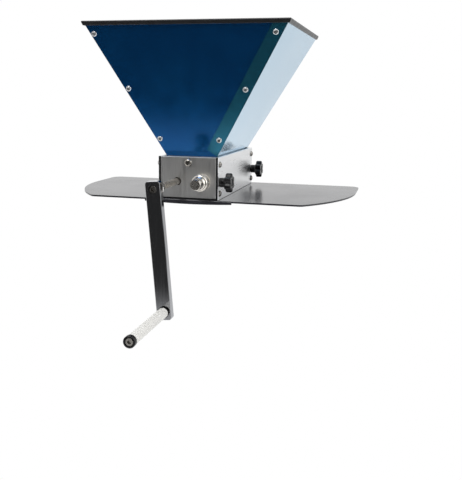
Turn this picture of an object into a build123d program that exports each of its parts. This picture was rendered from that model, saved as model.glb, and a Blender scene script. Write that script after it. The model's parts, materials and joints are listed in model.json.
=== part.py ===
from build123d import *
from math import atan, cos, radians, sin, sqrt
import os

# Two-roller grain mill with a sheet-metal hopper, a hand crank and a base plate that lies on a
# pail's rim. All sizes are in millimetres. +X runs across the rollers, +Y from the crank end to
# the rear, +Z up. The origin is on the base plate's underside, below the body's middle.

# Base plate: the crank side is straight, both ends follow a round rim
BASE_T = 2.0
BASE_X = 6.7
BASE_HALF_X = 185.8
BASE_FRONT_Y = -94.0
BASE_REAR_Y = 99.0
RIM_CENTRE_Y = 36.0
BASE_FRONT_CORNER = 8.0
BASE_REAR_CORNER = 12.5
OUTLET_X = 62.0
OUTLET_Y = 152.0
LIP_HALF_LENGTH = 55.0
LIP_END_DEPTH = 2.0
LIP_MID_DEPTH = 3.6
LIP_BEND_R = 1.8

# Mill body: two thick end plates between two side panels
BODY_HALF_X = 38.0
BODY_HALF_Y = 91.0
BODY_TOP = 53.5
SIDE_T = 3.0
END_T = 12.0
GASKET_T = 1.5
EDGE_BREAK = 0.5

# Rollers and shafts
AXIS_Z = 23.5
ROLLER_R = 15.25
ROLLER_GAP = 1.3
ROLLER_CHAMFER = 1.0
ROLLER_END_PLAY = 0.5
DRIVE_X = -14.0
SHAFT_R = 4.0
RUNNING_FIT = 0.04
BUSH_R = 6.0
BUSH_SET_BACK = 3.0
SHAFT_HOLE_R = 5.0

# Gap adjustment: the idler shaft turns in eccentric sleeves set by knurled knobs
ECCENTRIC_R = 10.0
ECCENTRICITY = 1.2
ECCENTRIC_BOSS_R = 5.0
ECCENTRIC_BOSS_LENGTH = 10.0
KNOB_CLEARANCE = 0.3
KNOB_R = 10.2
KNOB_NECK_R = 6.4
KNOB_GRIP_LENGTH = 13.0
KNOB_TAPER_LENGTH = 4.0
KNOB_LENGTH = 27.7
SET_SCREW_R = 1.5

# Lock screws: star knobs that clamp the eccentric sleeves from the right side
STUD_R = 3.0
STUD_FIT = 0.05
STUD_PANEL_HOLE_R = 3.4
STUD_TIP_GAP = 0.3
STAR_HUB_R = 5.6
STAR_HUB_START = 0.4
STAR_HEAD_START = 8.0
STAR_HEAD_T = 8.0
STAR_LOBES = 6
STAR_CORE_R = 8.6
STAR_LOBE_R = 3.1
STAR_R = 11.6

# Hopper: a short neck in the body's mouth, then four leaning sheets
SHEET_T = 1.2
HOPPER_X = 1.0
NECK_HALF_X = 31.2
NECK_HALF_Y = 78.5
NECK_BOTTOM = 42.0
NECK_TOP = 51.5
HOPPER_HALF_X = 121.1
HOPPER_HALF_Y = 112.4
TRIM_BOTTOM = 206.0
SHEET_TOP = 209.5
TRIM_TOP = 211.3
TRIM_OUT = 1.8
FLANGE = 17.5
FLANGE_CUT = 8.0
FLANGE_FOOT = 54.5
RIVET_HEIGHTS = (74.3, 134.0, 197.0)
RIVET_INSET_LEFT = 5.0
RIVET_INSET_RIGHT = 8.6
RIVET_R = 2.0
RIVET_HEAD_R = 3.3

# Crank
CRANK_LENGTH = 140.0
CRANK_TILT = 4.9
ARM_FRONT = -174.0
ARM_T = 8.0
ARM_WIDTH = 17.5
ARM_END = 9.5
ARM_CORNER = 3.5
NUT_T = 6.5
NUT_ACROSS_FLATS = 13.0
GRIP_R = 6.0
GRIP_BORE_R = 5.0
GRIP_END = -275.0
GRIP_CAP_R = 6.6
GRIP_CAP_T = 6.0
GRIP_BUSH_T = 2.2
GRIP_PLAY = 0.3
GRIP_SCREW_R = 3.0

# Worked out from the driving sizes
IDLER_X = DRIVE_X + 2 * ROLLER_R + ROLLER_GAP
END_INNER = BODY_HALF_Y - END_T
END_MID = BODY_HALF_Y - END_T / 2
INNER_X = BODY_HALF_X - SIDE_T
ROLLER_HALF = END_INNER - ROLLER_END_PLAY
ARM_REAR = ARM_FRONT + ARM_T
LEAN_X = (HOPPER_HALF_X - NECK_HALF_X) / (TRIM_BOTTOM - NECK_TOP)
LEAN_Y = (HOPPER_HALF_Y - NECK_HALF_Y) / (TRIM_BOTTOM - NECK_TOP)
WALL_X = SHEET_T * sqrt(1 + LEAN_X ** 2)
WALL_Y = SHEET_T * sqrt(1 + LEAN_Y ** 2)
FRONT, REAR = -1, 1
LEFT, RIGHT = -1, 1


# ---- plain building blocks ----

def block(x_range, y_range, z_range):
    spans = (x_range, y_range, z_range)
    middle = [(low + high) / 2 for low, high in spans]
    size = [abs(high - low) for low, high in spans]
    return Pos(*middle) * Box(*size)


def bar(radius, start, direction, length):
    low = (Align.CENTER, Align.CENTER, Align.MIN)
    return Plane(origin=start, z_dir=direction) * Cylinder(radius, length, align=low)


def turned(profile, start, direction):
    """A solid of revolution from (radius, height) points, standing on start along direction."""
    points = [(0, profile[0][1]), *profile, (0, profile[-1][1])]
    outline = make_face(Plane.XZ * Polyline(*points, close=True))
    return Plane(origin=start, z_dir=direction) * revolve(outline, Axis.Z)


def hex_prism(across_flats, start, direction, length):
    outline = RegularPolygon(across_flats / 2, 6, major_radius=False)
    return Plane(origin=start, z_dir=direction) * extrude(outline, amount=length)


def button_screw(seat, outward, shank_r, length, head_r, head_t, socket):
    """A domed socket screw whose head rests on seat and whose shank runs inwards."""
    dome = [(head_r, 0), (head_r, 0.25 * head_t), (0.82 * head_r, 0.75 * head_t), (0.55 * head_r, head_t)]
    inward = tuple(-value for value in outward)
    socket_start = tuple(at + 0.35 * head_t * way for at, way in zip(seat, outward))
    screw = turned(dome, seat, outward) + bar(shank_r, seat, inward, length)
    return screw - hex_prism(socket, socket_start, outward, head_t)


def cap_screw(seat, outward, shank_r, length, head_r, head_t, socket):
    """A cylindrical socket screw whose head rests on seat and whose shank runs inwards."""
    rim = [(head_r, 0), (head_r, head_t - 0.4), (head_r - 0.4, head_t)]
    inward = tuple(-value for value in outward)
    socket_start = tuple(at + 0.4 * head_t * way for at, way in zip(seat, outward))
    screw = turned(rim, seat, outward) + bar(shank_r, seat, inward, length)
    return screw - hex_prism(socket, socket_start, outward, head_t)


# ---- base ----

BASE_SCREW_X = 14.0
BASE_SCREW_R = 2.5
BASE_SCREW_HEAD_R = 4.5
BASE_SCREW_LENGTH = 11.0


def base_screw_places():
    return [(x, y) for x in (-BASE_SCREW_X, BASE_SCREW_X) for y in (-END_MID, END_MID)]


def base_screw(x, y):
    profile = [(BASE_SCREW_HEAD_R, 0), (BASE_SCREW_R, BASE_T), (BASE_SCREW_R, BASE_SCREW_LENGTH)]
    return turned(profile, (x, y, 0), (0, 0, 1))


def base_plate():
    disc = Pos(BASE_X, RIM_CENTRE_Y) * Circle(BASE_HALF_X)
    depth = BASE_REAR_Y - BASE_FRONT_Y
    outline = disc & Pos(BASE_X, BASE_FRONT_Y + depth / 2) * Rectangle(2 * BASE_HALF_X, depth)
    rear_depth = BASE_REAR_Y - RIM_CENTRE_Y
    outline += Pos(BASE_X, RIM_CENTRE_Y + rear_depth / 2) * Rectangle(2 * BASE_HALF_X, rear_depth)
    outline = fillet(outline.vertices().group_by(Axis.Y)[-1], BASE_REAR_CORNER)
    outline = fillet(outline.vertices().group_by(Axis.Y)[0], BASE_FRONT_CORNER)
    plate = extrude(outline - Rectangle(OUTLET_X, OUTLET_Y), amount=BASE_T)
    lip_line = Polyline((LIP_HALF_LENGTH, -LIP_END_DEPTH), (LIP_HALF_LENGTH, 0),
                        (-LIP_HALF_LENGTH, 0), (-LIP_HALF_LENGTH, -LIP_END_DEPTH))
    lip_line += ThreePointArc((-LIP_HALF_LENGTH, -LIP_END_DEPTH), (0, -LIP_MID_DEPTH),
                              (LIP_HALF_LENGTH, -LIP_END_DEPTH))
    lip = extrude(Plane.XZ * make_face(lip_line), amount=BASE_T)
    plate += Pos(0, BASE_T + BASE_FRONT_Y, 0) * lip
    bend_y = BASE_FRONT_Y + LIP_BEND_R
    bend_z = BASE_T - LIP_BEND_R
    corner = block((-LIP_HALF_LENGTH, LIP_HALF_LENGTH), (bend_y - 3, bend_y), (bend_z, bend_z + 3))
    plate -= corner - bar(LIP_BEND_R, (-LIP_HALF_LENGTH, bend_y, bend_z), (1, 0, 0), 2 * LIP_HALF_LENGTH)
    for x, y in base_screw_places():
        plate -= base_screw(x, y)
    return plate


def base_gaskets():
    strips = []
    for side in (FRONT, REAR):
        y_range = sorted((side * (END_INNER + 0.5), side * (BODY_HALF_Y - 0.6)))
        strips.append(block((-INNER_X, INNER_X), y_range, (BASE_T, BASE_T + GASKET_T)))
    for x, y in base_screw_places():
        strips = [strip - base_screw(x, y) for strip in strips]
    return Compound(children=strips)


def base_screws():
    screws = []
    for x, y in base_screw_places():
        socket = hex_prism(3.0, (x, y, -1), (0, 0, 1), 2.6)
        screws.append(base_screw(x, y) - socket)
    return Compound(children=screws)


# ---- body ----

SIDE_SCREW_HEIGHTS = (10.0, 45.0)
SIDE_SCREW_R = 2.0
SIDE_SCREW_LENGTH = 12.0
NECK_SCREW_Z = 46.6
NECK_SCREW_R = 2.5
NECK_NUT_T = 3.2
NECK_SCREW_LENGTH = END_T + NECK_NUT_T + 2.0


def end_plate(end):
    y_range = sorted((end * END_INNER, end * BODY_HALF_Y))
    plate = block((-INNER_X, INNER_X), y_range, (BASE_T + GASKET_T, BODY_TOP))
    outer_edges = plate.edges().group_by(Axis.Y)[-1 if end == REAR else 0]
    plate = chamfer(outer_edges, EDGE_BREAK)
    inward = (0, -end, 0)
    outside = end * (BODY_HALF_Y + 1)
    plate -= bar(SHAFT_HOLE_R, (DRIVE_X, outside, AXIS_Z), inward, END_T)
    bush_start = end * (BODY_HALF_Y - BUSH_SET_BACK)
    plate -= bar(BUSH_R, (DRIVE_X, bush_start, AXIS_Z), inward, END_T)
    sleeve_hole_r = ECCENTRIC_R + RUNNING_FIT
    plate -= bar(sleeve_hole_r, (IDLER_X, outside, AXIS_Z), inward, END_T + 2)
    plate -= bar(NECK_SCREW_R, (0, outside, NECK_SCREW_Z), inward, END_T + 2)
    plate -= bar(STUD_R + STUD_FIT, (INNER_X + 1, end * END_MID, AXIS_Z), (-1, 0, 0), ECCENTRIC_R)
    for x, y in base_screw_places():
        plate -= base_screw(x, y)
    for side in (LEFT, RIGHT):
        for screw in side_screws(side):
            plate -= screw
    return plate


def side_panel(side):
    x_range = sorted((side * INNER_X, side * BODY_HALF_X))
    panel = block(x_range, (-BODY_HALF_Y, BODY_HALF_Y), (BASE_T, BODY_TOP))
    outer_edges = panel.edges().group_by(Axis.X)[-1 if side == RIGHT else 0]
    panel = chamfer(outer_edges, EDGE_BREAK)
    for y in (-END_MID, END_MID):
        for z in SIDE_SCREW_HEIGHTS:
            panel -= bar(SIDE_SCREW_R, (side * (BODY_HALF_X + 1), y, z), (-side, 0, 0), SIDE_T + 2)
        if side == RIGHT:
            panel -= bar(STUD_PANEL_HOLE_R, (BODY_HALF_X + 1, y, AXIS_Z), (-1, 0, 0), SIDE_T + 2)
    return panel


def side_screws(side):
    seat_x = side * BODY_HALF_X
    return [button_screw((seat_x, y, z), (side, 0, 0), SIDE_SCREW_R, SIDE_SCREW_LENGTH, 3.8, 2.2, 2.5)
            for y in (-END_MID, END_MID) for z in SIDE_SCREW_HEIGHTS]


def neck_screws():
    screws = []
    for end in (FRONT, REAR):
        seat = (0, end * BODY_HALF_Y, NECK_SCREW_Z)
        screws.append(button_screw(seat, (0, end, 0), NECK_SCREW_R, NECK_SCREW_LENGTH, 4.9, 2.8, 3.0))
    return Compound(children=screws)


def neck_nuts():
    nuts = []
    for end in (FRONT, REAR):
        start = (0, end * (NECK_HALF_Y - WALL_Y), NECK_SCREW_Z)
        nut = Plane(origin=start, z_dir=(0, -end, 0)) * extrude(Rectangle(8, 8), amount=NECK_NUT_T)
        nuts.append(nut - bar(NECK_SCREW_R, (0, end * BODY_HALF_Y, NECK_SCREW_Z), (0, -end, 0), 2 * END_T))
    return Compound(children=nuts)


DEFLECTOR_T = 1.5
DEFLECTOR_LENGTH = 156.0


def grain_deflector(side):
    """A bent strip that leads grain from the neck's edge onto the top of the roller."""
    tip_x = 25.5 if side == LEFT else 29.5
    profile = Polyline((INNER_X, 50), (INNER_X, 40.6), (tip_x, 36.4), (tip_x, 36.4 + DEFLECTOR_T + 0.4),
                       (INNER_X - DEFLECTOR_T, 42), (INNER_X - DEFLECTOR_T, 50), close=True)
    strip = extrude(Plane.XZ * make_face(profile), amount=DEFLECTOR_LENGTH / 2, both=True)
    if side == LEFT:
        strip = mirror(strip, Plane.YZ)
    return strip


# ---- rollers, shafts and bushes ----

def drive_bush(end):
    start_y = end * (BODY_HALF_Y - BUSH_SET_BACK)
    length = END_T - BUSH_SET_BACK
    bush = bar(BUSH_R, (DRIVE_X, start_y, AXIS_Z), (0, -end, 0), length)
    return bush - bar(SHAFT_R + RUNNING_FIT, (DRIVE_X, start_y + end, AXIS_Z), (0, -end, 0), length + 2)


def roller(x, z):
    slope = ROLLER_CHAMFER
    profile = [(ROLLER_R - slope, 0), (ROLLER_R, slope), (ROLLER_R, 2 * ROLLER_HALF - slope),
               (ROLLER_R - slope, 2 * ROLLER_HALF)]
    body = turned(profile, (x, -ROLLER_HALF, z), (0, 1, 0))
    return body - bar(SHAFT_R, (x, -ROLLER_HALF - 1, z), (0, 1, 0), 2 * ROLLER_HALF + 2)


ARM_SCREW_R = 2.5
ARM_SCREW_LENGTH = 14.0
ARM_SCREW_HEAD_T = 4.6
ARM_COUNTERBORE_R = 4.7
SHAFT_FRONT = ARM_FRONT + 5.0
SHAFT_REAR = BODY_HALF_Y - BUSH_SET_BACK


def drive_shaft():
    shaft = bar(SHAFT_R, (DRIVE_X, SHAFT_FRONT, AXIS_Z), (0, 1, 0), SHAFT_REAR - SHAFT_FRONT)
    return shaft - bar(ARM_SCREW_R, (DRIVE_X, SHAFT_FRONT - 1, AXIS_Z), (0, 1, 0), ARM_SCREW_LENGTH + 1)


IDLER_Z = AXIS_Z - ECCENTRICITY
IDLER_SHAFT_HALF = BODY_HALF_Y - 3.0


def idler_shaft():
    return bar(SHAFT_R, (IDLER_X, -IDLER_SHAFT_HALF, IDLER_Z), (0, 1, 0), 2 * IDLER_SHAFT_HALF)


# ---- gap adjusters ----

def eccentric(end):
    face_y = end * BODY_HALF_Y
    sleeve_inner = end * (END_INNER + 0.2)
    sleeve = bar(ECCENTRIC_R, (IDLER_X, sleeve_inner, AXIS_Z), (0, end, 0), END_T - 0.2)
    sleeve += bar(ECCENTRIC_BOSS_R, (IDLER_X, face_y - end, AXIS_Z), (0, end, 0), ECCENTRIC_BOSS_LENGTH + 1)
    bore_depth = IDLER_SHAFT_HALF + 0.5 - END_INNER
    bore_start = (IDLER_X, end * END_INNER, IDLER_Z)
    return sleeve - bar(SHAFT_R + RUNNING_FIT, bore_start, (0, end, 0), bore_depth)


def adjusting_knob(end):
    taper_end = KNOB_GRIP_LENGTH + KNOB_TAPER_LENGTH
    profile = [(KNOB_R - 1.0, 0), (KNOB_R, 1.0), (KNOB_R, KNOB_GRIP_LENGTH - 1.4),
               (KNOB_R - 1.4, KNOB_GRIP_LENGTH), (KNOB_NECK_R, taper_end),
               (KNOB_NECK_R, KNOB_LENGTH - 0.6), (KNOB_NECK_R - 0.6, KNOB_LENGTH)]
    start_y = end * (BODY_HALF_Y + KNOB_CLEARANCE)
    knob = turned(profile, (IDLER_X, start_y, AXIS_Z), (0, end, 0))
    knob -= bar(ECCENTRIC_BOSS_R, (IDLER_X, start_y - end, AXIS_Z), (0, end, 0),
                ECCENTRIC_BOSS_LENGTH + 1 - KNOB_CLEARANCE)
    hole_start = (IDLER_X, set_screw_y(end), AXIS_Z - KNOB_R - 1)
    return knob - bar(SET_SCREW_R, hole_start, (0, 0, 1), KNOB_R)


def set_screw_y(end):
    return end * (BODY_HALF_Y + KNOB_CLEARANCE + KNOB_GRIP_LENGTH / 2)


def knob_set_screw(end):
    y = set_screw_y(end)
    top = AXIS_Z - ECCENTRIC_BOSS_R
    bottom = AXIS_Z - KNOB_R + 0.6
    screw = bar(SET_SCREW_R, (IDLER_X, y, bottom), (0, 0, 1), top - bottom)
    return screw - hex_prism(1.5, (IDLER_X, y, bottom - 1), (0, 0, 1), 2.5)


# ---- lock screws ----

def lock_stud(end):
    tip_x = IDLER_X + ECCENTRIC_R + RUNNING_FIT + STUD_TIP_GAP
    head_x = BODY_HALF_X + STAR_HEAD_START
    stud = bar(STUD_R, (tip_x, end * END_MID, AXIS_Z), (1, 0, 0), head_x - tip_x)
    return chamfer(stud.edges().group_by(Axis.X)[0], 0.6)


def lock_knob(end):
    y = end * END_MID
    plane = Plane(origin=(BODY_HALF_X + STAR_HEAD_START, y, AXIS_Z), z_dir=(1, 0, 0))
    outline = Circle(STAR_CORE_R)
    reach = STAR_R - STAR_LOBE_R
    for lobe in range(STAR_LOBES):
        angle = radians(360 / STAR_LOBES * lobe)
        outline += Pos(reach * cos(angle), reach * sin(angle)) * Circle(STAR_LOBE_R)
    head = extrude(outline, amount=STAR_HEAD_T)
    head = chamfer(head.edges().group_by(Axis.Z)[-1], 0.8)
    hub_length = STAR_HEAD_START - STAR_HUB_START
    hub = [(STAR_HUB_R - 0.6, 0), (STAR_HUB_R, 0.6), (STAR_HUB_R, hub_length - 2),
           (STAR_HUB_R + 1.2, hub_length - 1.2), (STAR_HUB_R + 1.2, hub_length)]
    knob = plane * head + turned(hub, (BODY_HALF_X + STAR_HUB_START, y, AXIS_Z), (1, 0, 0))
    running = STUD_R + RUNNING_FIT
    return knob - bar(running, (BODY_HALF_X, y, AXIS_Z), (1, 0, 0), STAR_HEAD_START + RUNNING_FIT)


# ---- hopper ----

def on_body(shape):
    """Place a hopper shape, drawn about its own middle, on the body."""
    return Pos(HOPPER_X, 0, 0) * shape


def hopper_block(grow_x, grow_y, low, high):
    """The leaning hopper's outline between two heights, grown sideways by the given walls."""
    layers = []
    for z in (low, high):
        half_x = NECK_HALF_X + LEAN_X * (z - NECK_TOP) + grow_x
        half_y = NECK_HALF_Y + LEAN_Y * (z - NECK_TOP) + grow_y
        layers.append(Pos(0, 0, z) * Rectangle(2 * half_x, 2 * half_y))
    return loft(layers, ruled=True)


def rivet_places(end):
    """(start, inward direction) of the rivets along both folded flanges of one hopper face."""
    lean = atan(LEAN_Y)
    inward = (0, -end * cos(lean), sin(lean))
    places = []
    for side in (LEFT, RIGHT):
        for z in RIVET_HEIGHTS:
            inset = RIVET_INSET_RIGHT if side == RIGHT else RIVET_INSET_LEFT
            lap = WALL_Y if side == RIGHT else 0
            x = side * (NECK_HALF_X + LEAN_X * (z - NECK_TOP) - inset)
            y = end * (NECK_HALF_Y + LEAN_Y * (z - NECK_TOP) + lap)
            places.append(((x, y, z), inward))
    return places


def rivet_holes():
    holes = []
    for end in (FRONT, REAR):
        for start, inward in rivet_places(end):
            outside = tuple(at - SHEET_T * way for at, way in zip(start, inward))
            holes.append(bar(RIVET_R, outside, inward, 5 * SHEET_T))
    return holes


def hopper_end_panel(end):
    """A front or rear sheet: it covers the left sheet's edge and stops short of the right one's."""
    wall = hopper_block(0, 0, NECK_TOP, SHEET_TOP) & block((-200, 0), (-200, 200), (0, 300))
    wall += hopper_block(-WALL_X, 0, NECK_TOP, SHEET_TOP)
    wall -= hopper_block(4 * WALL_X, -WALL_Y, NECK_TOP - 1, SHEET_TOP + 1)
    wall &= block((-200, 200), sorted((0, end * 200)), (0, 300))
    half_x = NECK_HALF_X - WALL_X
    y_range = sorted((end * NECK_HALF_Y, end * (NECK_HALF_Y - WALL_Y)))
    wall += block((-half_x, half_x), y_range, (NECK_BOTTOM, NECK_TOP))
    wall -= bar(NECK_SCREW_R, (-HOPPER_X, end * BODY_HALF_Y, NECK_SCREW_Z), (0, -end, 0), 2 * END_T)
    for hole in rivet_holes():
        wall -= hole
    return wall


def hopper_side_panel(side):
    """A side sheet with two flanges: the right one's lap over the end panels, the left one's lie behind."""
    lap = WALL_Y if side == RIGHT else -WALL_Y
    wall = hopper_block(0, lap, NECK_TOP, SHEET_TOP)
    wall -= hopper_block(-WALL_X, lap - WALL_Y, NECK_TOP - 1, SHEET_TOP + 1)
    wall -= hopper_block(-FLANGE, 4 * WALL_Y, NECK_TOP - 1, SHEET_TOP + 1)
    wall &= block(sorted((0, side * 200)), (-200, 200), (0, 300))
    inner_x = NECK_HALF_X - WALL_X
    foot_x = inner_x + LEAN_X * (FLANGE_FOOT - NECK_TOP)
    cut_top = FLANGE_FOOT + FLANGE_CUT
    cut_top_x = NECK_HALF_X - FLANGE + LEAN_X * (cut_top - NECK_TOP)
    cut = Polyline((side * inner_x, NECK_TOP - 1), (side * inner_x, NECK_TOP), (side * foot_x, FLANGE_FOOT),
                   (side * cut_top_x, cut_top), (0, cut_top), (0, NECK_TOP - 1), close=True)
    wall -= extrude(Plane.XZ * make_face(cut), amount=200, both=True)
    for end in (FRONT, REAR):
        beyond = sorted((end * NECK_HALF_Y, end * 200))
        wall -= block((-200, 200), beyond, (0, FLANGE_FOOT))
    x_range = sorted((side * inner_x, side * NECK_HALF_X))
    wall += block(x_range, (-NECK_HALF_Y, NECK_HALF_Y), (NECK_BOTTOM, NECK_TOP))
    for hole in rivet_holes():
        wall -= hole
    return wall


def hopper_rivets(end):
    rivets = []
    profile = [(RIVET_R, -3 * SHEET_T), (RIVET_R, 0), (RIVET_HEAD_R, 0), (RIVET_HEAD_R, 0.3),
               (0.75 * RIVET_HEAD_R, 1.0), (0.42 * RIVET_HEAD_R, 1.2), (0.36 * RIVET_HEAD_R, 0.4)]
    for start, inward in rivet_places(end):
        outward = tuple(-value for value in inward)
        rivets.append(on_body(turned(profile, start, outward)))
    return Compound(children=rivets)


def hopper_trims():
    """The rubber edge on the hopper's rim, mitred into four strips."""
    ring = hopper_block(TRIM_OUT, WALL_Y + TRIM_OUT, TRIM_BOTTOM, TRIM_TOP)
    ring -= hopper_block(-WALL_X - TRIM_OUT, -WALL_Y - TRIM_OUT, TRIM_BOTTOM - 1, TRIM_TOP + 1)
    for end in (FRONT, REAR):
        ring -= hopper_end_panel(end)
    for side in (LEFT, RIGHT):
        ring -= hopper_side_panel(side)
    corner_x = 2 * (HOPPER_HALF_X + 2)
    corner_y = 2 * (HOPPER_HALF_Y + 2)
    wedges = {"hopper_trim_front": ((-corner_x, -corner_y), (corner_x, -corner_y)),
              "hopper_trim_rear": ((corner_x, corner_y), (-corner_x, corner_y)),
              "hopper_trim_left": ((-corner_x, corner_y), (-corner_x, -corner_y)),
              "hopper_trim_right": ((corner_x, -corner_y), (corner_x, corner_y))}
    strips = {}
    for name, (first, second) in wedges.items():
        outline = make_face(Polyline((0, 0), first, second, close=True))
        strips[name] = ring & Pos(0, 0, TRIM_BOTTOM - 10) * extrude(outline, amount=30)
    return strips


# ---- crank ----

def on_crank(shape):
    """Place a shape drawn with the shaft axis at (0, 0) and the arm hanging straight down."""
    return Pos(DRIVE_X, 0, AXIS_Z) * Rot(0, -CRANK_TILT, 0) * shape


def crank_arm():
    length = CRANK_LENGTH + 2 * ARM_END
    outline = RectangleRounded(ARM_WIDTH, length, ARM_CORNER)
    arm = Plane(origin=(0, ARM_REAR, -CRANK_LENGTH / 2), x_dir=(1, 0, 0), z_dir=(0, -1, 0)) * extrude(
        outline, amount=ARM_T)
    arm = chamfer(arm.edges().group_by(Axis.Y)[0], EDGE_BREAK)
    arm -= bar(ARM_COUNTERBORE_R, (0, SHAFT_FRONT, 0), (0, -1, 0), ARM_T)
    arm -= bar(SHAFT_R, (0, ARM_REAR + 1, 0), (0, -1, 0), ARM_T)
    arm -= bar(GRIP_SCREW_R, (0, ARM_REAR + 1, -CRANK_LENGTH), (0, -1, 0), ARM_T + 2)
    return on_crank(arm)


def crank_arm_screw():
    screw = cap_screw((0, SHAFT_FRONT, 0), (0, -1, 0), ARM_SCREW_R, ARM_SCREW_LENGTH, 4.2,
                      ARM_SCREW_HEAD_T, 4.0)
    return on_crank(screw)


def crank_nuts():
    nuts = []
    for turn in range(2):
        start = (0, ARM_REAR + turn * NUT_T, 0)
        nut = hex_prism(NUT_ACROSS_FLATS, start, (0, 1, 0), NUT_T)
        nut -= bar(SHAFT_R, start, (0, 1, 0), NUT_T)
        nuts.append(on_crank(nut))
    return Compound(children=nuts)


GRIP_HEAD_R = 4.4
GRIP_HEAD_T = 3.6
GRIP_RECESS = 5.0
GRIP_INNER_END = ARM_FRONT - GRIP_PLAY
GRIP_TUBE_FRONT = GRIP_END + GRIP_CAP_T
GRIP_TUBE_REAR = GRIP_INNER_END - GRIP_BUSH_T
GRIP_SPIGOT = 10.0


def grip_screw():
    seat_y = GRIP_END + GRIP_RECESS - GRIP_PLAY
    length = ARM_REAR - seat_y
    screw = cap_screw((0, seat_y, -CRANK_LENGTH), (0, -1, 0), GRIP_SCREW_R, length, GRIP_HEAD_R,
                      GRIP_HEAD_T, 4.0)
    return on_crank(screw)


def grip_tube():
    length = GRIP_TUBE_REAR - GRIP_TUBE_FRONT
    start = (0, GRIP_TUBE_FRONT, -CRANK_LENGTH)
    tube = bar(GRIP_R, start, (0, 1, 0), length)
    return on_crank(tube - bar(GRIP_BORE_R, start, (0, 1, 0), length))


def grip_end_cap():
    start = (0, GRIP_END, -CRANK_LENGTH)
    profile = [(GRIP_CAP_R - 1.0, 0), (GRIP_CAP_R, 1.0), (GRIP_CAP_R, GRIP_CAP_T),
               (GRIP_BORE_R, GRIP_CAP_T), (GRIP_BORE_R, GRIP_CAP_T + GRIP_SPIGOT)]
    cap = turned(profile, start, (0, 1, 0))
    cap -= bar(GRIP_HEAD_R + 0.3, (0, GRIP_END - 1, -CRANK_LENGTH), (0, 1, 0), GRIP_RECESS + 1)
    cap -= bar(GRIP_SCREW_R + RUNNING_FIT, start, (0, 1, 0), 2 * GRIP_SPIGOT)
    return on_crank(cap)


def grip_inner_bush():
    start = (0, GRIP_INNER_END, -CRANK_LENGTH)
    profile = [(GRIP_CAP_R, 0), (GRIP_CAP_R, GRIP_BUSH_T), (GRIP_BORE_R, GRIP_BUSH_T),
               (GRIP_BORE_R, GRIP_BUSH_T + GRIP_SPIGOT)]
    bush = turned(profile, start, (0, -1, 0))
    bush -= bar(GRIP_SCREW_R + RUNNING_FIT, (0, ARM_FRONT, -CRANK_LENGTH), (0, -1, 0), 2 * GRIP_SPIGOT)
    return on_crank(bush)


# ---- all sub-parts, each in its own file ----

def sub_parts():
    parts = {
        "base_plate": base_plate(),
        "base_gaskets": base_gaskets(),
        "base_screws": base_screws(),
        "neck_screws": neck_screws(),
        "neck_nuts": neck_nuts(),
        "drive_shaft": drive_shaft(),
        "drive_roller": roller(DRIVE_X, AXIS_Z),
        "idler_shaft": idler_shaft(),
        "idler_roller": roller(IDLER_X, IDLER_Z),
        "crank_arm": crank_arm(),
        "crank_arm_screw": crank_arm_screw(),
        "crank_nuts": crank_nuts(),
        "grip_screw": grip_screw(),
        "grip_tube": grip_tube(),
        "grip_end_cap": grip_end_cap(),
        "grip_inner_bush": grip_inner_bush(),
    }
    for name, side in (("left", LEFT), ("right", RIGHT)):
        parts[name + "_side_panel"] = side_panel(side)
        parts[name + "_side_screws"] = Compound(children=side_screws(side))
        parts[name + "_grain_deflector"] = grain_deflector(side)
        parts["hopper_" + name + "_panel"] = on_body(hopper_side_panel(side))
    for name, end in (("front", FRONT), ("rear", REAR)):
        parts[name + "_end_plate"] = end_plate(end)
        parts[name + "_drive_bush"] = drive_bush(end)
        parts[name + "_eccentric"] = eccentric(end)
        parts[name + "_adjusting_knob"] = adjusting_knob(end)
        parts[name + "_knob_set_screw"] = knob_set_screw(end)
        parts[name + "_lock_stud"] = lock_stud(end)
        parts[name + "_lock_knob"] = lock_knob(end)
        parts["hopper_" + name + "_panel"] = on_body(hopper_end_panel(end))
        parts["hopper_rivets_" + name] = hopper_rivets(end)
    for name, strip in hopper_trims().items():
        parts[name] = on_body(strip)
    return parts


os.makedirs("parts", exist_ok=True)
for name, shape in sub_parts().items():
    export_step(shape, "parts/" + name + ".step")
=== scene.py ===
"""The grain mill's looks: finishes for every CAD node, detailed pieces and a white studio."""
import json
from math import cos, floor, pi, radians, sin, tau

import bpy
from mathutils import Matrix, Vector

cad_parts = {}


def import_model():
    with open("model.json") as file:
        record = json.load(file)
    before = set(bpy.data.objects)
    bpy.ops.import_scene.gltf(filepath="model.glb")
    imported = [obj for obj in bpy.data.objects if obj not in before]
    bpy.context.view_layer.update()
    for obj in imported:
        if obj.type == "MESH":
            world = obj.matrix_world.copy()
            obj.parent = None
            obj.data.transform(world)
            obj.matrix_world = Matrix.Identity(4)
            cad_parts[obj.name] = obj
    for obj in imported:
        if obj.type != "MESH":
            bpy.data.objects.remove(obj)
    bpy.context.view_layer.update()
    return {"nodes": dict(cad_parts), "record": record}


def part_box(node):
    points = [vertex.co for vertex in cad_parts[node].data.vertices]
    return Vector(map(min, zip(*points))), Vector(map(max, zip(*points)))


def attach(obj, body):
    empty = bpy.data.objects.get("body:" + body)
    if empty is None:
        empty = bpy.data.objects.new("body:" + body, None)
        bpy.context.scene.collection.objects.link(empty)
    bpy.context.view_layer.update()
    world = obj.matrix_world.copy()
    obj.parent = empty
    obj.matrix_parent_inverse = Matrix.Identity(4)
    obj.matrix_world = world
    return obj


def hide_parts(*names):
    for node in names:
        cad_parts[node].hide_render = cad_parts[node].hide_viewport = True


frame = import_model()
NODES = frame["nodes"]
SLOT_OF = {row["node"]: row["material_slot"] for row in frame["record"]["subparts"]}
BODIES = frame["record"]["behaviour"]["bodies"]
BODY_OF = {node: body for body, members in BODIES.items() for node in members}
MM = 0.001
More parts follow.
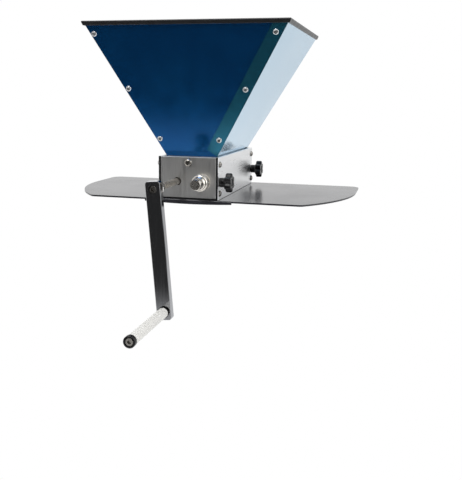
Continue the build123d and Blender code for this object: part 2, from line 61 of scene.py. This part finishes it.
# Grain directions: a small number draws the grain out along that axis.
EVEN, ALONG_Y, UPRIGHT, TURNED = (1, 1, 1), (1, 0.04, 1), (1, 1, 0.04), (0.3, 1, 0.3)
HOPPER_MIDDLE = sum(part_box("hopper_trim_front"), Vector()) * 0.5 * Vector((1, 0, 0))


# ---- finishes ----

class Finish:
    """A Principled material with helpers for its procedural detail."""

    def __init__(self, name, color, metallic, roughness, **sockets):
        self.slot = name
        self.material = bpy.data.materials.new(name + "_finish")
        self.material.use_nodes = True
        self.tree = self.material.node_tree
        self.shader = self.tree.nodes["Principled BSDF"]
        self.color = color
        self.set_sockets(Base_Color=(*color, 1), Metallic=metallic, Roughness=roughness, **sockets)
        self.place = self.tree.nodes.new("ShaderNodeTexCoord").outputs["Object"]

    def set_sockets(self, **sockets):
        for socket, value in sockets.items():
            self.shader.inputs[socket.replace("_", " ")].default_value = value

    def node(self, kind, **sockets):
        made = self.tree.nodes.new(kind)
        for socket, value in sockets.items():
            made.inputs[socket.replace("_", " ")].default_value = value
        return made

    def noise(self, scale, stretch=(1, 1, 1), detail=3.0):
        """Noise over the object, scale in cycles per metre, drawn out where stretch is small."""
        mapping = self.node("ShaderNodeMapping", Scale=stretch)
        self.tree.links.new(self.place, mapping.inputs["Vector"])
        noise = self.node("ShaderNodeTexNoise", Scale=scale, Detail=detail, Roughness=0.55)
        self.tree.links.new(mapping.outputs["Vector"], noise.inputs["Vector"])
        return noise.outputs["Fac"]

    def ranged(self, value, low, high, start=0.3, end=0.7):
        ranged = self.node("ShaderNodeMapRange", From_Min=start, From_Max=end, To_Min=low, To_Max=high)
        self.tree.links.new(value, ranged.inputs["Value"])
        return ranged.outputs["Result"]

    def facing_ends(self, start, end):
        """0 to 1 as the surface turns from facing sideways or up to facing the front or rear."""
        coordinates = self.tree.nodes.new("ShaderNodeTexCoord")
        split = self.tree.nodes.new("ShaderNodeSeparateXYZ")
        self.tree.links.new(coordinates.outputs["Normal"], split.inputs["Vector"])
        facing = self.tree.nodes.new("ShaderNodeMath")
        facing.operation = "ABSOLUTE"
        self.tree.links.new(split.outputs["Y"], facing.inputs[0])
        return self.ranged(facing.outputs["Value"], 0.0, 1.0, start, end)

    def facing_outwards(self):
        """1 where the surface faces away from the mill's upright middle line, 0 where it faces it."""
        coordinates = self.tree.nodes.new("ShaderNodeTexCoord")
        sideways = self.tree.nodes.new("ShaderNodeVectorMath")
        sideways.operation = "MULTIPLY"
        sideways.inputs[1].default_value = (1, 1, 0)
        self.tree.links.new(self.place, sideways.inputs[0])
        outwards = self.tree.nodes.new("ShaderNodeVectorMath")
        outwards.operation = "DOT_PRODUCT"
        self.tree.links.new(coordinates.outputs["Normal"], outwards.inputs[0])
        self.tree.links.new(sideways.outputs["Vector"], outwards.inputs[1])
        return self.ranged(outwards.outputs["Value"], 0.0, 1.0, 0.0, 0.004)

    def vary_roughness(self, value, low, high):
        self.tree.links.new(self.ranged(value, low, high), self.shader.inputs["Roughness"])

    def mixed(self, factor, first, second):
        mix = self.tree.nodes.new("ShaderNodeMix")
        mix.data_type = "RGBA"
        self.tree.links.new(factor, mix.inputs["Factor"])
        for socket, source in (("A", first), ("B", second)):
            target = next(item for item in mix.inputs if item.name == socket and item.type == "RGBA")
            if isinstance(source, tuple):
                target.default_value = (*source, 1)
            else:
                self.tree.links.new(source, target)
        return next(item for item in mix.outputs if item.type == "RGBA")

    def vary_color(self, value, other, start=0.3, end=0.7):
        mixed = self.mixed(self.ranged(value, 0.0, 1.0, start, end), self.color, other)
        self.tree.links.new(mixed, self.shader.inputs["Base Color"])
        return mixed

    def bump(self, *layers):
        """Each layer is (height output, depth in metres)."""
        normal = None
        for value, depth in layers:
            bump = self.node("ShaderNodeBump", Strength=1.0, Distance=depth)
            self.tree.links.new(value, bump.inputs["Height"])
            if normal is not None:
                self.tree.links.new(normal, bump.inputs["Normal"])
            normal = bump.outputs["Normal"]
        self.tree.links.new(normal, self.shader.inputs["Normal"])


def brushed(name, color, other, roughness, grain, stretch, depth=0.0008 * MM, metallic=1.0):
    """Metal with drawn-out grain: brushing, grinding or turning marks."""
    finish = Finish(name, color, metallic, roughness)
    streaks = finish.noise(grain, stretch)
    finish.vary_color(streaks, other)
    finish.vary_roughness(finish.noise(grain * 0.37, stretch), roughness * 0.8, roughness * 1.25)
    if depth:
        finish.bump((streaks, depth))
    return finish


def film_covered_sheet(name, flange):
    """Steel under blue protective film outside and bare inside; flange tints what faces front or rear.
    Faces turned sideways get a lighter blue, a painted reflection.
    """
    finish = Finish(name, (0.001, 0.080, 0.270), 0.82, 0.16,
                    Coat_Weight=0.25, Coat_Roughness=0.05, Coat_IOR=1.45)
    patches = finish.ranged(finish.noise(14.0, detail=2.0), 0.0, 1.0)
    end_blue = flange or finish.mixed(patches, finish.color, (0.002, 0.100, 0.310))
    # Painted reflection: the film on faces turned sideways is painted a lighter blue than on faces to the
    # front and rear.
    painted_sheen_side_blue = finish.mixed(patches, (0.40, 0.62, 0.80), (0.45, 0.66, 0.83))
    film = finish.mixed(finish.facing_ends(0.6, 0.7), painted_sheen_side_blue, end_blue)
    grain = finish.noise(500.0, (1, 1, 0.03))
    steel = finish.mixed(grain, (0.50, 0.51, 0.52), (0.62, 0.63, 0.64))
    color = finish.mixed(finish.facing_outwards(), steel, film)
    finish.tree.links.new(color, finish.shader.inputs["Base Color"])
    finish.vary_roughness(finish.noise(60.0), 0.13, 0.20)
    waves = finish.noise(9.0, detail=1.0)
    wrinkles = finish.noise(70.0, (1, 1, 0.25), detail=1.0)
    finish.bump((waves, 0.25 * MM), (wrinkles, 0.004 * MM))
    return finish


def side_sheet():
    """The body's satin side sheets, with dark cut edges to the front and rear."""
    finish = brushed("satin_side_sheet", (0.80, 0.81, 0.82), (0.86, 0.87, 0.88), 0.32, 1100, ALONG_Y)
    base_color = finish.shader.inputs["Base Color"]
    face = base_color.links[0].from_socket
    cut_edge = (0.05, 0.05, 0.052)
    finish.tree.links.new(finish.mixed(finish.facing_ends(0.85, 0.95), face, cut_edge), base_color)
    return finish


def black_sheet():
    finish = Finish("black_sheet", (0.018, 0.018, 0.023), 0.0, 0.18, IOR=1.52)
    finish.vary_color(finish.noise(40.0), (0.024, 0.024, 0.030))
    finish.vary_roughness(finish.noise(12.0), 0.15, 0.21)
    finish.bump((finish.noise(900.0, detail=1.0), 0.001 * MM))
    return finish


def rubber(name, color):
    finish = Finish(name, color, 0.0, 0.32, IOR=1.45)
    finish.vary_color(finish.noise(200.0), tuple(1.5 * part for part in color))
    finish.vary_roughness(finish.noise(120.0), 0.30, 0.42)
    finish.bump((finish.noise(900.0), 0.004 * MM))
    return finish


def moulded_plastic():
    finish = Finish("black_plastic", (0.003, 0.003, 0.004), 0.0, 0.24, IOR=1.34)
    finish.vary_color(finish.noise(300.0), (0.006, 0.006, 0.007))
    finish.vary_roughness(finish.noise(150.0), 0.20, 0.30)
    finish.bump((finish.noise(1800.0), 0.004 * MM))
    return finish


def finishes():
    made = [
        film_covered_sheet("film_covered_sheet", None),
        film_covered_sheet("film_on_side_sheets", (0.020, 0.170, 0.270)),
        black_sheet(),
        rubber("black_rubber", (0.008, 0.008, 0.009)),
        moulded_plastic(),
        brushed("zinc_screws", (0.30, 0.285, 0.26), (0.38, 0.365, 0.34), 0.24, 900, EVEN),
        brushed("bright_nuts", (0.78, 0.77, 0.74), (0.84, 0.83, 0.81), 0.14, 700, EVEN),
        side_sheet(),
        brushed("bare_sheet", (0.52, 0.53, 0.54), (0.60, 0.61, 0.62), 0.35, 900, ALONG_Y),
        brushed("machined_plate", (0.50, 0.50, 0.495), (0.56, 0.56, 0.555), 0.42, 1300, UPRIGHT),
        brushed("sintered_bush", (0.060, 0.046, 0.030), (0.10, 0.08, 0.05), 0.45, 1500, EVEN),
        brushed("rivets", (0.74, 0.75, 0.76), (0.80, 0.81, 0.82), 0.22, 900, EVEN),
        brushed("shaft_steel", (0.72, 0.67, 0.60), (0.75, 0.70, 0.63), 0.28, 160, TURNED, depth=0),
        brushed("roller_steel", (0.30, 0.29, 0.28), (0.42, 0.41, 0.40), 0.34, 1500, EVEN),
        brushed("arm_steel", (0.30, 0.305, 0.32), (0.34, 0.345, 0.36), 0.11, 1300, UPRIGHT),
        brushed("knurled_steel", (0.62, 0.59, 0.54), (0.68, 0.65, 0.60), 0.22, 1500, EVEN),
        brushed("grip_tube", (0.60, 0.595, 0.57), (0.64, 0.635, 0.61), 0.42, 130, ALONG_Y,
                depth=0, metallic=0.0),
    ]
    return {finish.slot: finish.material for finish in made}


FINISHES = finishes()


# ---- building meshes ----

def along(start, direction):
    """A placement whose local Z runs along direction from start."""
    turn = Vector(direction).to_track_quat("Z", "Y").to_matrix().to_4x4()
    return Matrix.Translation(Vector(start)) @ turn


def ring_piece(rings, hollow=False):
    """Vertices and faces of a surface through equal rings of points; hollow joins last to first."""
    count = len(rings[0])
    vertices = [point for ring in rings for point in ring]
    faces = []
    last = len(rings) if hollow else len(rings) - 1
    for row in range(last):
        low, high = row * count, (row + 1) % len(rings) * count
        for step in range(count):
            after = (step + 1) % count
            faces.append((low + step, low + after, high + after, high + step))
    if not hollow:
        faces.append(tuple(reversed(range(count))))
        faces.append(tuple(range((len(rings) - 1) * count, len(rings) * count)))
    return vertices, faces


def turned(profile, place, count=96, hollow=False):
    """A turned shape from (radius, height) points. A radius may be a function of angle and height."""
    rings = []
    for radius, height in profile:
        ring = []
        for step in range(count):
            angle = tau * step / count
            reach = radius(angle, height) if callable(radius) else radius
            ring.append(place @ Vector((reach * cos(angle), reach * sin(angle), height)))
        rings.append(ring)
    return ring_piece(rings, hollow)


def hexagon(across_flats):
    return lambda angle, height: across_flats / 2 / cos(angle % (pi / 3) - pi / 6)


def joined(shapes):
    vertices, faces = [], []
    for points, polygons in shapes:
        start = len(vertices)
        vertices += points
        faces += [tuple(index + start for index in polygon) for polygon in polygons]
    return vertices, faces


def piece(name, shape, stands_for, sharp=35.0):
    """A visible piece that stands for a CAD node and takes its body and finish."""
    vertices, faces = shape
    mesh = bpy.data.meshes.new(name)
    mesh.from_pydata([tuple(point) for point in vertices], [], faces)
    mesh.validate()
    made = bpy.data.objects.new(name, mesh)
    bpy.context.scene.collection.objects.link(made)
    mesh.shade_smooth()
    mesh.set_sharp_from_angle(angle=radians(sharp))
    mesh.materials.append(FINISHES[SLOT_OF[stands_for]])
    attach(made, BODY_OF[stands_for])
    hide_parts(stands_for)
    return made


def axis_of(node, along_axis):
    """The middle of a turned node's box, with its range along one axis."""
    low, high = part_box(node)
    return (low + high) / 2, low[along_axis], high[along_axis]


# ---- turned and knurled parts ----

def zigzag(value):
    return 1 - abs(2 * (value - floor(value)) - 1)


def knurl(radius, teeth, pitch, depth):
    """A diamond knurl: two crossing screw threads leave small pyramids."""
    def reach(angle, height):
        turns = teeth * angle / tau
        rise = height / pitch
        return radius - depth * (1 - min(zigzag(turns + rise), zigzag(turns - rise)))
    return reach


def adjusting_knob(name, end):
    node = name + "_adjusting_knob"
    low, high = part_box(node)
    middle = (low + high) / 2
    radius = (high.x - low.x) / 2
    length = high.y - low.y
    base_y = low.y if end > 0 else high.y
    grip_length, taper_length = 13 * MM, 4 * MM
    neck = 0.63 * radius
    pitch = 1.25 * MM
    teeth, rows = 42, 60
    skin = knurl(radius, teeth, pitch, 0.45 * MM)
    profile = [(0.45 * radius, 0), (radius - 1.0 * MM, 0), (radius - 0.5 * MM, 0.6 * MM)]
    for row in range(rows + 1):
        profile.append((skin, 1.0 * MM + row / rows * (grip_length - 2.4 * MM)))
    profile += [(radius - 0.5 * MM, grip_length - 1.1 * MM), (radius - 1.6 * MM, grip_length)]
    for step in range(7):
        fall = step / 6
        ease = fall * fall * (3 - 2 * fall)
        widest = radius - 1.8 * MM
        profile.append((widest - (widest - neck) * ease, grip_length + fall * taper_length))
    profile += [(neck, length - 0.5 * MM), (neck - 0.4 * MM, length), (0.3 * neck, length)]
    place = along((middle.x, base_y, middle.z), (0, end, 0))
    piece(node + "_knurled", turned(profile, place, teeth * 6), node, sharp=50)


def fluted_roller(node):
    """A mill roller with slightly twisted flutes, and turned ends."""
    middle, low_y, high_y = axis_of(node, 1)
    low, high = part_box(node)
    radius = (high.x - low.x) / 2
    length = high_y - low_y
    flutes, depth, twist = 60, 0.45 * MM, 0.35
    rows = 48

    def skin(angle, height):
        return radius - depth * (1 - zigzag(flutes * (angle / tau + twist * height / length / tau)))

    profile = [(0.3 * radius, 0.0), (0.9 * radius, 0.0), (radius - 1.0 * MM, 0.15 * MM)]
    profile += [(skin, 1.2 * MM + row / rows * (length - 2.4 * MM)) for row in range(rows + 1)]
    profile += [(radius - 1.0 * MM, length - 0.15 * MM), (0.9 * radius, length), (0.3 * radius, length)]
    place = along((middle.x, low_y, middle.z), (0, 1, 0))
    piece(node + "_fluted", turned(profile, place, flutes * 6), node, sharp=40)


def star_knob(name):
    """A moulded knob with six rounded lobes, a face with a shallow central recess and a stepped hub."""
    node = name + "_lock_knob"
    low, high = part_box(node)
    middle = (low + high) / 2
    reach = (high.z - low.z) / 2
    length = high.x - low.x
    hub = 0.49 * reach
    lobes = 6

    def outline(scale):
        def radius(angle, height):
            turn = 0.5 + 0.5 * cos(lobes * (angle - pi / 2))
            return scale * reach * (0.72 + 0.28 * turn ** 0.75)
        return radius

    hub_end = length - 8 * MM
    profile = [(0.55 * hub, 0), (hub - 0.5 * MM, 0), (hub, 0.6 * MM), (hub, hub_end - 2.2 * MM),
               (hub + 1.0 * MM, hub_end - 1.2 * MM), (hub + 1.2 * MM, hub_end)]
    rounding = 1.6 * MM
    for step in range(5):
        turn = pi / 2 * step / 4
        scale = 1 - rounding / reach * (1 - sin(turn))
        profile.append((outline(scale), hub_end + rounding * (1 - cos(turn))))
    for step in range(5):
        turn = pi / 2 * step / 4
        scale = 1 - rounding / reach * (1 - cos(turn))
        profile.append((outline(scale), length - rounding * (1 - sin(turn))))
    profile += [(outline(0.7), length - 0.15 * MM), (0.42 * reach, length - 0.3 * MM),
                (0.38 * reach, length - 0.9 * MM), (0.1 * reach, length - 0.9 * MM)]
    place = along((low.x, middle.y, middle.z), (1, 0, 0))
    piece(node + "_moulded", turned(profile, place, 144), node, sharp=40)


def capped_hexagon(across_flats, limit):
    shape = hexagon(across_flats)
    return lambda angle, height: min(shape(angle, height), limit)


def crank_nuts():
    """Two hexagon nuts with turned corners, locked against each other behind the arm."""
    node = "crank_nuts"
    middle, low_y, high_y = axis_of(node, 1)
    half = (high_y - low_y) / 2
    flats, bore = 13 * MM, 4 * MM
    gap, chamfer = 0.05 * MM, 0.5 * MM
    corner = flats / 2 / cos(pi / 6)
    turned_end, full = capped_hexagon(flats, corner * 0.90), capped_hexagon(flats, corner)
    profile = [(bore, gap), (turned_end, gap), (full, gap + chamfer),
               (full, half - gap - chamfer), (turned_end, half - gap), (bore, half - gap)]
    shapes = [turned(profile, along((middle.x, start, middle.z), (0, 1, 0)), 96, hollow=True)
              for start in (low_y, low_y + half)]
    piece("crank_nuts_chamfered", joined(shapes), node, sharp=25)


def grip_parts():
    """The grip's pale tube with eased ends, and its black end cap."""
    middle, low_y, high_y = axis_of("grip_tube", 1)
    radius, bore, ease = 6 * MM, 5 * MM, 0.35 * MM
    length = high_y - low_y
    tube = [(bore, 0), (radius - ease, 0), (radius, ease),
            (radius, length - ease), (radius - ease, length), (bore, length)]
    place = along((middle.x, low_y, middle.z), (0, 1, 0))
    piece("grip_tube_polished", turned(tube, place, 96, hollow=True), "grip_tube")

    middle, low_y, _ = axis_of("grip_end_cap", 1)
    outer, recess, flange, rim = 6.6 * MM, 4.7 * MM, 6 * MM, 1.2 * MM
    screw_hole, seat, end = 3.1 * MM, 5.0 * MM, 15 * MM
    cap = [(screw_hole, seat), (recess, seat), (recess, 0.5 * MM), (recess + 0.4 * MM, 0.0)]
    cap.append((outer - rim, 0.0))
    for step in range(1, 6):
        turn = pi / 2 * step / 5
        cap.append((outer - rim * (1 - sin(turn)), rim * (1 - cos(turn))))
    cap += [(outer, flange - 0.4 * MM), (outer - 0.4 * MM, flange), (bore, flange)]
    cap += [(bore, end), (screw_hole, end)]
    place = along((middle.x, low_y, middle.z), (0, 1, 0))
    piece("grip_end_cap_moulded", turned(cap, place, 96, hollow=True), "grip_end_cap")


# ---- rivets ----

def islands(node):
    """The node's connected surfaces, each a list of points."""
    mesh = NODES[node].data
    owner = list(range(len(mesh.vertices)))

    def root(index):
        while owner[index] != index:
            owner[index] = owner[owner[index]]
            index = owner[index]
        return index

    for edge in mesh.edges:
        first, second = (root(index) for index in edge.vertices)
        owner[first] = second
    merged = {}
    for index, vertex in enumerate(mesh.vertices):
        merged.setdefault(root(index), []).append(vertex.co)
    return list(merged.values())


SAME_RIVET = 6 * MM


def solids_of(node):
    """Each solid's middle and points: islands whose middles nearly meet are faces of one solid."""
    groups = []
    for points in islands(node):
        low = Vector(min(point[axis] for point in points) for axis in range(3))
        high = Vector(max(point[axis] for point in points) for axis in range(3))
        for group in groups:
            if ((group[0] + group[1]) / 2 - (low + high) / 2).length < SAME_RIVET:
                group[0] = Vector(map(min, group[0], low))
                group[1] = Vector(map(max, group[1], high))
                group[2].extend(points)
                break
        else:
            groups.append([low, high, list(points)])
    return [((low + high) / 2, points) for low, high, points in groups]


def blind_rivets(name, end):
    """Domed rivet heads with the dark hole that the broken-off pin leaves."""
    node = "hopper_rivets_" + name
    solids = solids_of(node)
    middles = [middle for middle, _ in solids]
    lowest = min(middles, key=lambda at: at.z)
    highest = max(middles, key=lambda at: at.z)
    lean = abs(highest.y - lowest.y) / (highest.z - lowest.z)
    outward = Vector((0, end, -lean)).normalized()
    head_r, pin_r, shank_r, head_height = 3.3 * MM, 1.7 * MM, 1.9 * MM, 1.2 * MM
    profile = [(shank_r, -3.4 * MM), (shank_r, 0), (head_r, 0), (head_r, 0.25 * MM)]
    for step in range(1, 6):
        turn = pi / 2 * step / 5
        profile.append((head_r - (head_r - 2.1 * MM) * (1 - cos(turn)), (0.25 + 0.9 * sin(turn)) * MM))
    profile += [(pin_r, 0.95 * MM), (pin_r - 0.1 * MM, -2.6 * MM)]
    shapes = []
    for middle, points in solids:
        top = max(outward.dot(point - middle) for point in points)
        shapes.append(turned(profile, along(middle + outward * (top - head_height), outward), 48))
    piece(node + "_domed", joined(shapes), node, sharp=45)


# ---- rubber edging on the hopper's rim ----

def corners_at(node, height):
    """Largest distance in x and y from the hopper's middle, among a node's points nearest to a height."""
    points = [vertex.co - HOPPER_MIDDLE for vertex in NODES[node].data.vertices]
    nearest = min(abs(point.z - height) for point in points)
    level = [point for point in points if abs(point.z - height) < nearest + 1e-6]
    return max(abs(point.x) for point in level), max(abs(point.y) for point in level)


def trim_strips():
    low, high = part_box("hopper_trim_front")
    low_x, low_y = corners_at("hopper_trim_front", low.z)
    high_x, high_y = corners_at("hopper_trim_front", high.z)
    tall = high.z - low.z
    inner = {"x": 6.8 * MM, "y": 6.0 * MM}
    round_r = 2.0 * MM

    def section(width):
        """Points (inward, up) round the edging's section, its top corners well rounded."""
        points = [(0.3 * MM, 0.0), (0.0, 0.3 * MM)]
        for step in range(7):
            turn = pi / 2 * step / 6
            points.append((round_r * (1 - cos(turn)), tall - round_r * (1 - sin(turn))))
        for step in range(7):
            turn = pi / 2 * step / 6
            points.append((width - round_r * (1 - sin(turn)), tall - round_r * (1 - cos(turn))))
        return points + [(width, 0.3 * MM), (width - 0.3 * MM, 0.0)]

    def rim_point(inward_x, inward_y, up, side_x, side_y):
        share = up / tall
        x = low_x + (high_x - low_x) * share - inward_x
        y = low_y + (high_y - low_y) * share - inward_y
        return HOPPER_MIDDLE + Vector((side_x * x, side_y * y, low.z + up))

    for name, ends in (("front", ((-1, -1), (1, -1))), ("rear", ((1, 1), (-1, 1))),
                       ("right", ((1, -1), (1, 1))), ("left", ((-1, 1), (-1, -1)))):
        rings = []
        runs_across = name in ("front", "rear")
        own, other = (inner["y"], inner["x"]) if runs_across else (inner["x"], inner["y"])
        for side_x, side_y in ends:
            ring = []
            for inward, up in section(own):
                crossing = inward / own * other
                shift = (crossing, inward) if runs_across else (inward, crossing)
                ring.append(rim_point(*shift, up, side_x, side_y))
            rings.append(ring)
        node = "hopper_trim_" + name
        piece(node + "_edging", ring_piece(rings), node, sharp=30)


# ---- studio ----

CAMERA_AT = (0.25517, -0.87465, 0.12618)
CAMERA_YAW, CAMERA_PITCH, CAMERA_ROLL = 14.090, 10.344, 0.706
CAMERA_LENS = 51.10
CAMERA_SHIFT = (-0.0069, -0.0404)
FLOOR_Z, FLOOR_HALF = -0.40, 12


def camera():
    data = bpy.data.cameras.new("camera")
    data.lens = CAMERA_LENS
    data.sensor_width = 36
    data.shift_x, data.shift_y = CAMERA_SHIFT
    data.clip_start, data.clip_end = 0.01, 100
    made = bpy.data.objects.new("camera", data)
    turn = Matrix.Rotation(radians(CAMERA_YAW), 4, "Z")
    turn = turn @ Matrix.Rotation(radians(90 - CAMERA_PITCH), 4, "X")
    turn = turn @ Matrix.Rotation(radians(CAMERA_ROLL), 4, "Z")
    made.matrix_world = Matrix.Translation(CAMERA_AT) @ turn
    bpy.context.scene.collection.objects.link(made)
    bpy.context.scene.camera = made


def smooth_ramp(tree, coordinate, start, end, low, high):
    """A value that eases from low to high as a texture coordinate's Y goes from start to end."""
    place = tree.nodes.new("ShaderNodeTexCoord")
    split = tree.nodes.new("ShaderNodeSeparateXYZ")
    ramp = tree.nodes.new("ShaderNodeMapRange")
    ramp.interpolation_type = "SMOOTHSTEP"
    values = {"From Min": start, "From Max": end, "To Min": low, "To Max": high}
    for socket, value in values.items():
        ramp.inputs[socket].default_value = value
    tree.links.new(place.outputs[coordinate], split.inputs["Vector"])
    tree.links.new(split.outputs["Y"], ramp.inputs["Value"])
    return ramp.outputs["Result"]


def world():
    """A white room that is dark round the camera's side, which only reflections and light see."""
    made = bpy.data.worlds.new("studio")
    bpy.context.scene.world = made
    made.use_nodes = True
    tree = made.node_tree
    background = tree.nodes["Background"]
    path = tree.nodes.new("ShaderNodeLightPath")
    seen = tree.nodes.new("ShaderNodeMath")
    seen.operation = "MAXIMUM"
    tree.links.new(smooth_ramp(tree, "Generated", -0.88, -0.45, 0.05, 1.0), seen.inputs[0])
    tree.links.new(path.outputs["Is Camera Ray"], seen.inputs[1])
    tree.links.new(seen.outputs["Value"], background.inputs["Strength"])
    background.inputs["Color"].default_value = (1, 1, 1, 1)


def stage_plane(name, x_range, y_range, z, material):
    mesh = bpy.data.meshes.new(name)
    (x0, x1), (y0, y1) = x_range, y_range
    mesh.from_pydata([(x0, y0, z), (x1, y0, z), (x1, y1, z), (x0, y1, z)], [], [(0, 1, 2, 3)])
    mesh.materials.append(material)
    made = bpy.data.objects.new(name, mesh)
    bpy.context.scene.collection.objects.link(made)
    return made


def studio_floor():
    """A pale floor that the camera sees as white as the backdrop."""
    finish = Finish("studio_floor", (0.86, 0.86, 0.86), 0.0, 0.9)
    finish.vary_roughness(finish.noise(3.0), 0.85, 0.95)
    tree = finish.tree
    white = finish.node("ShaderNodeEmission", Strength=1.0)
    mix = tree.nodes.new("ShaderNodeMixShader")
    path = tree.nodes.new("ShaderNodeLightPath")
    tree.links.new(path.outputs["Is Camera Ray"], mix.inputs[0])
    tree.links.new(finish.shader.outputs["BSDF"], mix.inputs[1])
    tree.links.new(white.outputs["Emission"], mix.inputs[2])
    tree.links.new(mix.outputs["Shader"], tree.nodes["Material Output"].inputs["Surface"])
    stage_plane("studio_floor", (-FLOOR_HALF, FLOOR_HALF), (-FLOOR_HALF, FLOOR_HALF), FLOOR_Z,
                finish.material)


def dark_card():
    """A cloth on the floor in front, darker away from the mill, which only reflections see."""
    material = bpy.data.materials.new("dark_card")
    material.use_nodes = True
    tree = material.node_tree
    tree.nodes.clear()
    output = tree.nodes.new("ShaderNodeOutputMaterial")
    glow = tree.nodes.new("ShaderNodeEmission")
    fade = smooth_ramp(tree, "Object", -1.14, -0.88, 0.05, 0.85)
    tree.links.new(fade, glow.inputs["Strength"])
    tree.links.new(glow.outputs["Emission"], output.inputs["Surface"])
    card = stage_plane("dark_card", (-5, 5), (-8, -0.8), FLOOR_Z + 10 * MM, material)
    card.visible_camera = False
    card.visible_diffuse = False
    card.visible_shadow = False
    card.visible_transmission = False


def area_light(name, at, towards, size, power):
    data = bpy.data.lights.new(name, "AREA")
    data.shape = "RECTANGLE"
    data.size, data.size_y = size
    data.energy = power
    made = bpy.data.objects.new(name, data)
    made.matrix_world = along(at, Vector(at) - Vector(towards))
    bpy.context.scene.collection.objects.link(made)


# ---- put together ----

for node, item in NODES.items():
    item.data.materials.clear()
    on_side = node in ("hopper_left_panel", "hopper_right_panel")
    item.data.materials.append(FINISHES["film_on_side_sheets" if on_side else SLOT_OF[node]])

ENDS = {"front": -1, "rear": 1}
for name, end in ENDS.items():
    adjusting_knob(name, end)
    star_knob(name)
for node in ("drive_roller", "idler_roller"):
    fluted_roller(node)
crank_nuts()
grip_parts()
trim_strips()
for name, end in ENDS.items():
    blind_rivets(name, end)

camera()
world()
studio_floor()
dark_card()
area_light("top_softbox", (-0.5, 0.2, 1.6), (0, 0, 0.1), (1.2, 1.2), 12)
area_light("right_softbox", (1.6, -0.3, 0.7), (0, 0, 0.05), (0.8, 1.4), 8)
area_light("front_softbox", (-0.25, -1.1, 1.5), (0, 0, 0.05), (0.9, 0.5), 9)
bpy.context.scene.view_settings.view_transform = "Standard"
